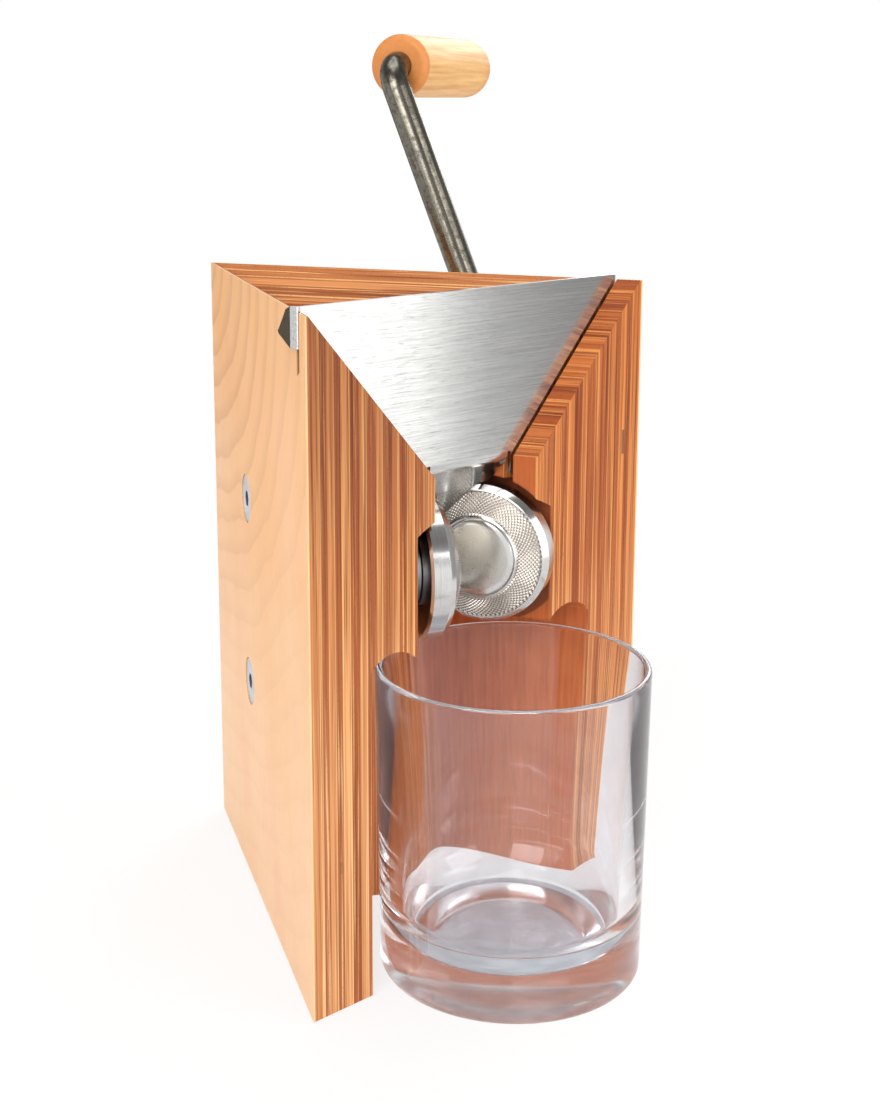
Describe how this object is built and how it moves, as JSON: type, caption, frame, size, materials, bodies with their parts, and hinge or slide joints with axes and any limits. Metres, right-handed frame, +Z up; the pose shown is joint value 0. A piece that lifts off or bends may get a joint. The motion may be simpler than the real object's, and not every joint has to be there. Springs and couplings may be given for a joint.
{
  "type": "hand crank grain flaker",
  "caption": "Wooden wedge-shaped hand mill with a V funnel, conical rollers turned by a side crank, a lift-out steel front plate and a catch glass.",
  "frame": {"origin": "on the resting face, on the mitre joint line, 90 mm behind the front face", "axes": "+Z up, the front face with the rollers looks along -Y, the crank is on the +X side"},
  "size_m": [0.194, 0.1999, 0.2945],
  "materials": {
    "board_wood": "oiled laminated beech, satin",
    "dowel_wood": "plain beech",
    "grip_wood": "turned beech, satin",
    "plate_steel": "brushed stainless sheet",
    "roller_steel": "machined, knurled cone faces",
    "rod_steel": "polished stainless rod",
    "screw_steel": "zinc plated",
    "washer_steel": "turned steel",
    "dark_steel": "blackened steel",
    "bush_bronze": "sintered bronze",
    "clear_glass": "clear pressed glass"
  },
  "bodies": {
    "housing": {"left_board": "board_wood", "right_board": "board_wood", "alignment_dowels": "dowel_wood", "connector_screws": "screw_steel", "outer_bush": "bush_bronze", "inner_bush": "bush_bronze", "driven_thrust_washer": "washer_steel", "idler_axle": "rod_steel", "idler_thrust_washer": "washer_steel", "idler_spring_washer": "dark_steel"},
    "crank": {"crank_rod": "rod_steel", "driven_roller": "roller_steel", "roller_set_screw": "dark_steel", "grip_end_washer": "washer_steel", "grip_screw": "screw_steel"},
    "grip": {"grip": "grip_wood"},
    "idler": {"idler_roller": "roller_steel", "idler_bush": "bush_bronze"},
    "plate": {"front_plate": "plate_steel"},
    "glass": {"catch_glass": "clear_glass"}
  },
  "joints": [
    {"name": "crank_turn", "type": "hinge", "parent": "housing", "child": "crank", "pos_m": [0, -0.0818, 0.128], "axis": [0.8981, 0.4398, 0], "continuous": true},
    {"name": "grip_spin", "type": "hinge", "parent": "crank", "child": "grip", "pos_m": [0.02685, -0.0002, 0.28327], "axis": [0.8981, 0.4398, 0], "continuous": true},
    {"name": "idler_turn", "type": "hinge", "parent": "housing", "child": "idler", "pos_m": [0, -0.0818, 0.128], "axis": [-0.8981, 0.4398, 0], "continuous": true},
    {"name": "plate_lift", "type": "slide", "parent": "housing", "child": "plate", "axis": [0, 0, 1], "range_m": [0, 0.12]},
    {"name": "glass_out", "type": "slide", "parent": "housing", "child": "glass", "axis": [0, -1, 0], "range_m": [0, 0.12]}
  ],
  "couplings": [
    {"joint": "idler_turn", "follows": "crank_turn", "ratio": -1}
  ]
}
